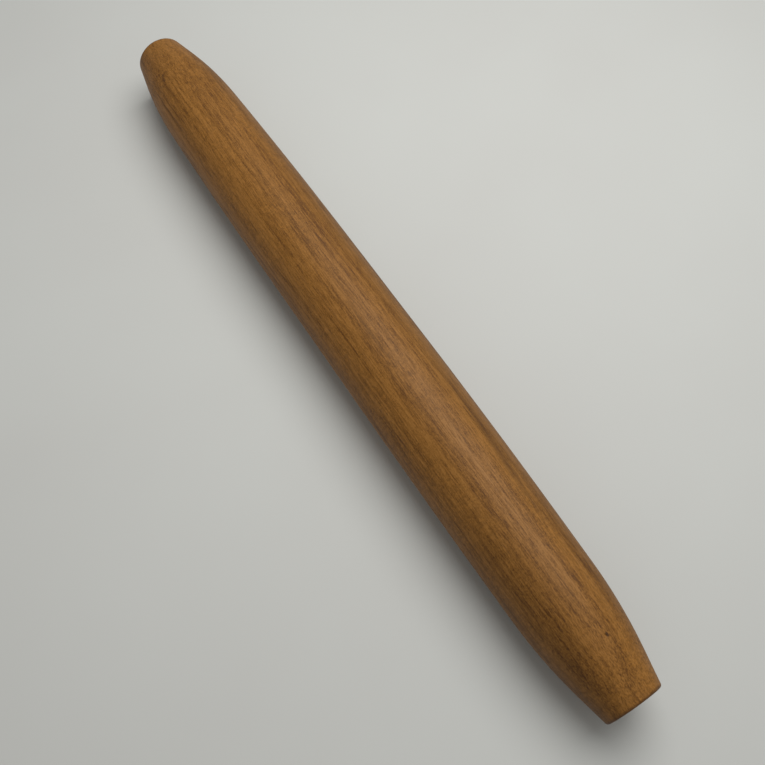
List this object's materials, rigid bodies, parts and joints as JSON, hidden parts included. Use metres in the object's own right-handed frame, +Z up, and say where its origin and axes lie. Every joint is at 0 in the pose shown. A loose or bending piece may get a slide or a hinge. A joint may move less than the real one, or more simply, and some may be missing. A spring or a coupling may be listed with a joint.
{
  "type": "french rolling pin",
  "caption": "Handleless rolling pin turned from one stick of hardwood, with a slightly crowned barrel and a short taper at each end, for rolling out dough by hand.",
  "frame": {"origin": "middle of the pin on its axis, at the centre of its box", "axes": "+X along the pin, +Z up when it lies on a table"},
  "size_m": [0.406, 0.0434, 0.0434],
  "materials": {
    "wood": "sanded and oiled, satin, fine grain along the pin"
  },
  "bodies": {
    "root": {"turned_pin": "wood"}
  },
  "joints": []
}
